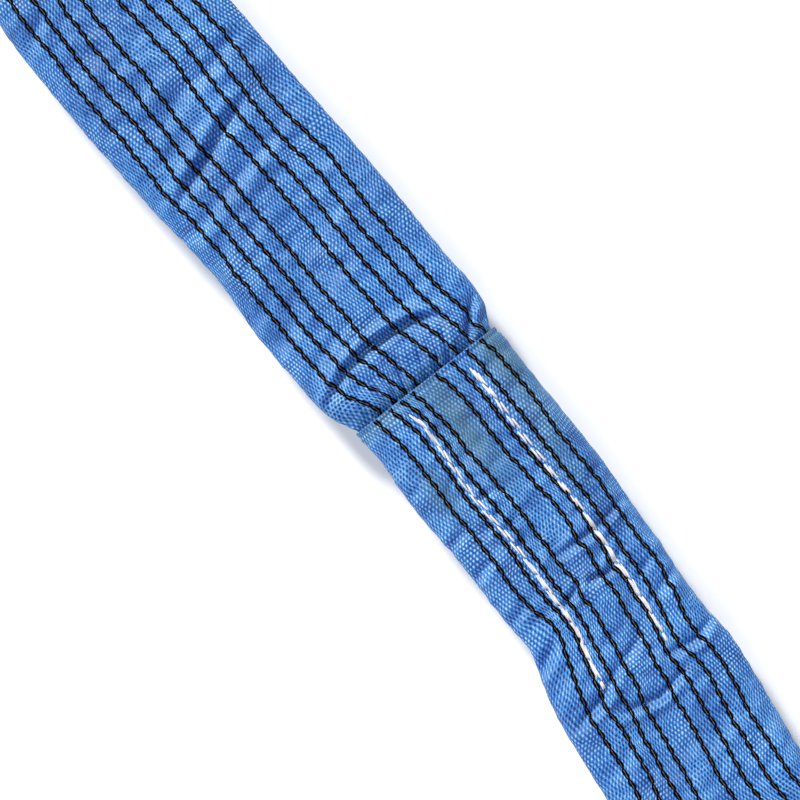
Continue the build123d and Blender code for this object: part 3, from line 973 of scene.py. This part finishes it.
# The outer sleeve's cloth is turned in at the mouth, in a round edge of its own thickness.
EDGE_RADIUS = 0.55 * MM
edge_turn = np.linspace(-pi / 2, pi / 2, 9)[1:-1]
hem_rows = np.concatenate([np.linspace(HEM_LENGTH, EDGE_RADIUS, 6), EDGE_RADIUS * (1 - np.cos(edge_turn))])
hem_lifts = np.concatenate([np.full(6, -2 * EDGE_RADIUS), EDGE_RADIUS * (np.sin(edge_turn) - 1)])
outer_rows = rows_along[rows_along >= EDGE_RADIUS]
outer_piece = make_sleeve(
    outer, "outer_sleeve", np.concatenate([hem_rows, outer_rows]), np.concatenate([hem_lifts, 0 * outer_rows])
)

tucked_rows = np.concatenate([
    -rows_along[::-1],
    np.arange(1 * MM, 13 * MM, 2 * MM),
    np.linspace(14 * MM, TUCKED_END_X, 30),
])
tucked_piece = make_sleeve(tucked, "tucked_sleeve", tucked_rows, 0 * tucked_rows)

# ---- marker yarns

CROSSING = 2 * HALF_LOOP / round(2 * HALF_LOOP / (6.06 * MM))
STRAND_SWING = 0.66 * MM  # to each side of the line
STRAND_SLANT = 0.20 * MM
STRAND_WIDE = 0.62 * MM  # this and the next from the strand's middle
STRAND_HIGH = 0.42 * MM
FILLER_WIDE = 0.24 * MM
NEAR_RING = 0.74 * MM  # from one ring of points to the next, on the joint's upper face
FAR_FACE_RING = 1.85 * MM
FAR_RING = 1.23 * MM


def marker_yarns(sleeve, name, face):
    """Pairs of strands that cross over and over, with a paler one beneath, along one face of the sleeve."""
    near = NEAR_RING if face == 0 else FAR_FACE_RING
    steps = sleeve.side * np.concatenate([
        np.arange(0 if sleeve.tucked else EDGE_RADIUS, 0.25, near),
        np.arange(0.25, SHAPED, FAR_RING),
        np.arange(SHAPED, HALF_LOOP, FAR_RING),
        [HALF_LOOP],
    ])
    if sleeve.tucked:
        steps = np.concatenate([steps[::-1], np.arange(NEAR_RING, 13 * MM, NEAR_RING)])
    batch = Batch()
    phase = pi * sleeve.place(steps) / CROSSING
    for number, line in enumerate(MARKER_LINES):
        points = sleeve.points(steps, face + line)
        _, around, off = sleeve.directions(steps, face + line)
        turn = phase + 1.7 * number
        for strand in (0, pi):
            side_to_side = np.tanh(1.5 * np.cos(turn + strand)) / np.tanh(1.5)
            sway = (STRAND_SWING * side_to_side + STRAND_SLANT * np.sin(2 * turn))[:, None]
            rise = (0.08 * MM + 0.16 * MM * np.sin(turn + strand))[:, None]
            centres = points + around * sway + off * rise
            centres[:, 2] = np.maximum(centres[:, 2], FLOOR_Z + STRAND_HIGH)
            batch.tube(centres, around, off, STRAND_WIDE, STRAND_HIGH)
        filler_rise = (0.14 * MM - 0.18 * MM * np.cos(4 * turn))[:, None]
        batch.tube(points + off * filler_rise, around, off, FILLER_WIDE, 0.2 * MM, slot=1)
    return batch.piece(name, black_yarn, grey_yarn)


marker_pieces = {
    (sleeve, face): marker_yarns(sleeve, f"{end}_{side}_marker_yarns", face)
    for sleeve, end in ((outer, "outer"), (tucked, "tucked"))
    for side, face in (("face", 0.0), ("back", GIRTH / 2))
}

# ---- core

CORE_COLUMNS = 6
CORE_LAYERS = 2
SIDE_CLOTH = 2 * MM  # room for the sleeve at each side, and above and below
FACE_CLOTH = 1 * MM
PRESSED_IN = 3 * MM  # less room for the core in the upper leg
PRESSED_DOWN = 5.4 * MM
core_wide = (core_high[1] - core_low[1]) / CORE_COLUMNS
core_tall = (core_high[2] - core_low[2]) / CORE_LAYERS


def core_turns(name, side):
    """The load-bearing turns inside one half of the sleeve."""
    s = side * np.linspace(0, HALF_LOOP, 260)
    if side < 0:
        s = s[::-1]
    x, z, normal_x, normal_z = loop_line(s)
    up = np.stack([normal_x, 0 * s, normal_z], -1)
    across = np.tile([0.0, 1.0, 0.0], (len(s), 1))
    # The core is pressed thin on the upper leg, where the joint leaves it less room.
    middle, room, _ = (outer if side > 0 else tucked).spread(s, x)
    on_top = fall(np.abs(s), SETTLE_X - 10 * MM, SETTLE_END)
    room = room - SIDE_CLOTH - PRESSED_IN * on_top
    high = HEIGHT / 2 - FACE_CLOTH - PRESSED_DOWN * on_top
    batch = Batch()
    for layer in range(CORE_LAYERS):
        for column in range(CORE_COLUMNS):
            offset = (column - (CORE_COLUMNS - 1) / 2) * core_wide * room / (WIDTH / 2)
            edge = (np.abs(offset) + core_wide / 2) / room
            rise = np.clip(1 - edge**ROUND_ACROSS, 0, 1) ** (1 / ROUND_UP)
            squeeze = np.minimum(1, (high * rise - 1.2 * MM) / core_tall)
            centre = np.stack([x, middle + offset, z], -1)
            centre = centre + up * ((layer - (CORE_LAYERS - 1) / 2) * core_tall * squeeze)[:, None]
            batch.tube(centre, across, up, core_wide * 0.44, core_tall * 0.46 * squeeze, 6)
    return batch.piece(name, core_yarn)


core_b = core_turns("core_turns_b", 1)
core_a = core_turns("core_turns_a", -1)

tape_low, tape_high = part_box("core_end_tape")


def core_tape():
    """The tape round the core's ends, on the lower leg inside the sleeve."""
    x = np.linspace(tape_low[0], tape_high[0], 12)[:, None]
    middle, half = leg(LOWER_EDGE_HIGH, LOWER_EDGE_LOW, x)
    y_unit, h_unit, _, _ = section(columns_round(64))
    y = middle + (half - 2.5 * MM) * y_unit
    z = LOWER_Z - (HEIGHT / 2 - 1.8 * MM) * h_unit
    points = np.stack(np.broadcast_arrays(x, y, z), -1)
    return make_piece("core_end_tape_wrap", points.reshape(-1, 3), tube_quads(*y.shape), tape_material)


tape_piece = core_tape()

# ---- rows of stitches

SEWN_OVER = 96 * MM  # from here on the stitches nearly touch and are thinner
BESIDE = 0.88 * MM  # from the row's line
STITCHED = 0.78  # of the pitch is thread, the rest is gap


def stitch(batch, start, end, row_at, sideways, lean, arch, thick):
    """One stitch: a thread that comes up out of the cloth, lies along its row and goes down again."""
    t = np.linspace(0, 1, 7)
    s = start + (end - start) * t
    u = row_at(s) + sideways + lean * (t - 0.5)
    points = outer.points(s, u)
    _, side, off = outer.directions(s, u)
    rise = (arch * np.sin(pi * t) ** 0.5 - 0.25 * MM)[:, None]
    size = thick * np.array([0.55, 0.9, 1.0, 1.05, 1.0, 0.9, 0.55])
    batch.tube(points + off * rise, side, off, size, size * 0.8, 6)


def stitch_row(name, row, seed):
    random = np.random.default_rng(seed)
    batch = Batch()

    def row_at(s):
        return outer.rows(s)[row]

    # Two lines of stitches lie side by side, and a third between them where the row was sewn over. Each has
    # its place across the row, its start in stitches and its end as a share of the row.
    for sideways, first, last in ((-BESIDE, 0, 1), (BESIDE, 0.45, 1), (0, 0.2, 0.14), (0, 9.2, 1)):
        s = SEAM_START - 1.5 * MM + first * STITCH_PITCH
        while s < SEAM_START + last * (SEAM_END - SEAM_START) - 9 * MM:
            sewn_over = 0.19 if s > SEWN_OVER else 0
            length = STITCH_PITCH * (STITCHED + sewn_over + random.uniform(-0.06, 0.06))
            shift = sideways + random.normal(0, 0.12 * MM)
            thick = random.uniform(0.56, 0.66) * MM * (1 - sewn_over)
            lean = random.normal(0, 0.35 * MM)
            stitch(batch, s, s + length, row_at, shift, lean, random.uniform(0.5, 0.8) * MM, thick)
            s += length + STITCH_PITCH * (1 - STITCHED - sewn_over) * random.uniform(0.8, 1.2)
    last = SEAM_END - 4 * MM
    for sideways in (-0.5 * MM, 0.45 * MM):
        stitch(batch, last, last + 4.6 * MM, row_at, sideways, sideways / 2, 0.75 * MM, 0.56 * MM)
    return batch.piece(name, white_thread)


ROW_NAMES = ("upper_face_right_seam", "upper_face_left_seam", "lower_face_right_seam", "lower_face_left_seam")
stitch_pieces = {name: stitch_row(name, number, 31 + number) for number, name in enumerate(ROW_NAMES)}

# ---- label


def make_label():
    rows, columns = 47, 41  # of points
    s = LABEL_S + np.linspace(-0.5, 0.5, rows)[:, None] * LABEL_LONG
    u = np.linspace(-0.5, 0.5, columns)[None] * LABEL_WIDE
    edge = np.maximum(np.abs(s - LABEL_S) / (LABEL_LONG / 2), np.abs(u) / (LABEL_WIDE / 2))
    lift = LABEL_THICK + 0.15 * MM + 0.35 * MM * ease(edge, 0.93, 1.0)
    points = outer.points(s, u, lift)
    a = np.arange(rows * columns).reshape(rows, columns)
    quads = np.stack([a[:-1, :-1], a[1:, :-1], a[1:, 1:], a[:-1, 1:]], -1).reshape(-1, 4)
    piece = make_piece("identification_label_sheet", points.reshape(-1, 3), quads, label_cloth())
    ring, column = np.divmod(quads, columns)
    lay_cloth_map(piece, np.stack([s[ring, 0], u[0, column]], -1))
    thickness = piece.modifiers.new("thickness", "SOLIDIFY")
    thickness.thickness = LABEL_THICK
    thickness.offset = -1
    return piece


label_piece = make_label()


def label_stitches():
    """A row of stitches round the label, in from its edge."""
    batch = Batch()
    t = np.linspace(0, 1, 5)
    lift = LABEL_THICK + 0.05 * MM + 0.28 * MM * np.sin(pi * t)
    half_long, half_wide = LABEL_LONG / 2 - LABEL_INSET, LABEL_WIDE / 2 - LABEL_INSET
    for sign in (-1, 1):
        for half, line, turned in ((half_long, half_wide, False), (half_wide, half_long, True)):
            for start in np.arange(-half, half - LABEL_STITCH / 2, LABEL_STITCH):
                way = (start + 0.8 * LABEL_STITCH * t, sign * line + 0 * t)
                s, u = reversed(way) if turned else way
                points = outer.points(LABEL_S + s, u, lift)
                off = outer.directions(LABEL_S + s, u)[2]
                side = np.cross(off, unit(np.gradient(points, axis=0)))
                batch.tube(points, side, off, 0.32 * MM, 0.28 * MM)
    return batch.piece("label_stitches", white_thread)


label_stitch_piece = label_stitches()

# ---- what each piece rides on and stands for


def stand_for(piece, end, slot, *nodes):
    """Stands the piece in for the CAD nodes, which it hides. With an end, 1 or -1, its transform is baked
    into its mesh; with 0 it rides on the middle.
    """
    if end:
        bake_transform(piece)
    else:
        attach(piece, "middle")
    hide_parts(*nodes)


stand_for(outer_piece, 1, "sleeve_fabric", "outer_sleeve_end", "eye_sleeve_b", "lower_leg_sleeve")
stand_for(tucked_piece, -1, "sleeve_fabric", "tucked_sleeve_end", "eye_sleeve_a", "lower_leg_sleeve")
for (sleeve, _), piece in marker_pieces.items():
    end, eye = ("tucked", "a") if sleeve.tucked else ("outer", "b")
    nodes = (f"{end}_sleeve_marker_yarns", f"eye_marker_yarns_{eye}", "lower_leg_marker_yarns")
    stand_for(piece, sleeve.side, "marker_yarn", *nodes)
stand_for(core_b, 1, "core_yarn", "eye_core_turns_b", "lower_leg_core_turns", "upper_leg_core_turns")
stand_for(core_a, -1, "core_yarn", "eye_core_turns_a", "lower_leg_core_turns", "upper_leg_core_turns")
for row_name, piece in stitch_pieces.items():
    stand_for(piece, 0, "seam_thread", "joint_" + row_name)
stand_for(tape_piece, 0, "core_tape", "core_end_tape")

for piece, slot, node in (
    (label_piece, "label", "identification_label"), (label_stitch_piece, "seam_thread", "label_stitching"),
):
    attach(piece, "end_b")
    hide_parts(node)

# ---- floor, light and camera

FLOOR_REACH = 6.0
paper = Shader("pale_floor")
grain = paper.noise(paper.node("TexCoord", {}, "Object"), 0.4, 2.0)
paper_shade = paper.ramp(grain, (0.3, 250, 250, 250), (0.7, 252, 252, 252))
floor_corners = [(x * FLOOR_REACH, y * FLOOR_REACH, 0) for x, y in ((-1, -1), (1, -1), (1, 1), (-1, 1))]
paper_material = paper.finish(base_color=paper_shade, roughness=0.9)
floor = make_piece("floor", floor_corners, np.arange(4)[None], paper_material)
floor.location.z = FLOOR_Z

VIEW_TURN = radians(52.2)  # the sling runs this far below the picture's level


def add_sun(name, azimuth, elevation, spread, strength):
    """An even soft light. Azimuth is the way it comes from, from +X towards +Y."""
    data = bpy.data.lights.new(name, "SUN")
    data.angle = radians(spread)
    data.energy = strength
    light = add_object(name, data)
    light.rotation_euler = (0, radians(90 - elevation), radians(azimuth))
    light.location = (0, 0, 1)


add_sun("key", 178, 36, 10, 3.4)
add_sun("fill", 300, 62, 40, 1.0)

world = bpy.data.worlds.new("studio")
bpy.context.scene.world = world
world.use_nodes = True
background = world.node_tree.nodes["Background"]
sky = Shader.__new__(Shader)
sky.tree = world.node_tree
height = sky.node("SeparateXYZ", {0: sky.node("TexCoord", {}, "Generated")}, "Z")
shade = sky.ramp(height, (0.0, 249.3, 249.3, 250.5), (0.25, 195.7, 195.7, 197.3), (1.0, 148.9, 148.9, 148.9))
sky.put(background.inputs["Color"], shade)
background.inputs["Strength"].default_value = 1.0

LENS = 85.0
SENSOR = 36.0
FRAME_WIDTH = 0.4064
VIEW_Y = -16 * MM
camera_data = bpy.data.cameras.new("camera")
camera_data.lens = LENS
camera_data.sensor_width = SENSOR
camera = add_object("camera", camera_data)
camera.location = (0, VIEW_Y, UPPER_Z + HEIGHT / 2 + FRAME_WIDTH * LENS / SENSOR)
camera.rotation_euler = (0, 0, VIEW_TURN)
bpy.context.scene.camera = camera
bpy.context.scene.view_settings.view_transform = "Standard"
